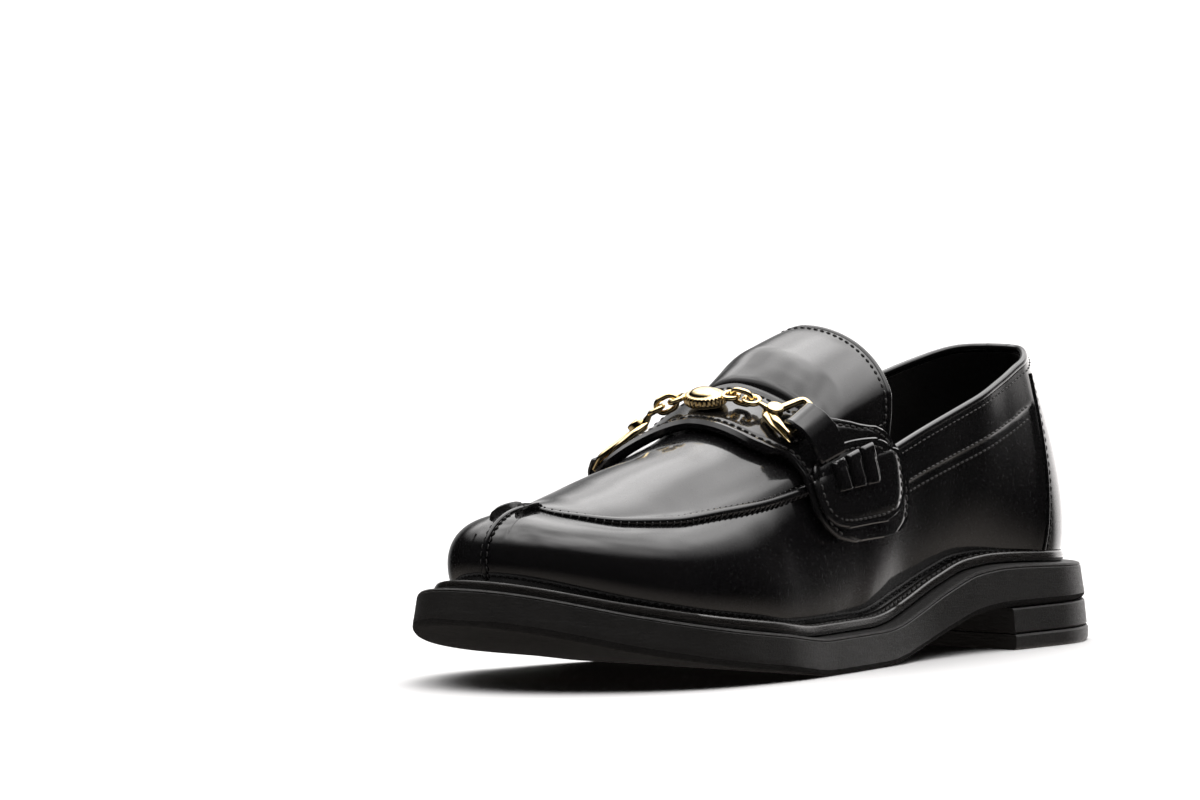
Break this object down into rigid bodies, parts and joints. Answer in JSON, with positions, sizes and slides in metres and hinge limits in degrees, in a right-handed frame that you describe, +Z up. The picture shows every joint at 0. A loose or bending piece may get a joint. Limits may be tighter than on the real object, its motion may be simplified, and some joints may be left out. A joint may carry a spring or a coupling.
{
  "type": "loafer shoe",
  "caption": "Left black leather loafer with a thick rubber sole, low heel, welt, split toe, raised apron seam and a gold metal bit on the saddle.",
  "frame": {"origin": "centre of the bounding box in plan, on the floor under the sole", "axes": "+Z up, toe towards -Y, heel towards +Y, outer (lateral) side towards +X"},
  "size_m": [0.1064, 0.2962, 0.1042],
  "materials": {
    "black_leather": "high gloss, smooth",
    "welt_leather": "gloss edge with fine stitches",
    "lining_leather": "matt, smooth",
    "black_rubber": "matt, lightly textured",
    "polished_gold": "polished, pale gold plating"
  },
  "bodies": {
    "root": {"outsole": "black_rubber", "heel_block": "black_rubber", "heel_top_piece": "black_rubber", "welt": "welt_leather", "insole": "lining_leather", "upper": "black_leather", "tongue": "black_leather", "saddle": "black_leather", "tab_outer": "black_leather", "tab_inner": "black_leather", "finger_outer_1": "black_leather", "finger_outer_2": "black_leather", "finger_outer_3": "black_leather", "finger_inner_1": "black_leather", "finger_inner_2": "black_leather", "finger_inner_3": "black_leather", "strap_outer": "black_leather", "strap_inner": "black_leather", "bit_boss": "polished_gold", "bit_link_outer": "polished_gold", "bit_link_inner": "polished_gold", "bit_end_outer": "polished_gold", "bit_end_inner": "polished_gold"}
  },
  "joints": []
}
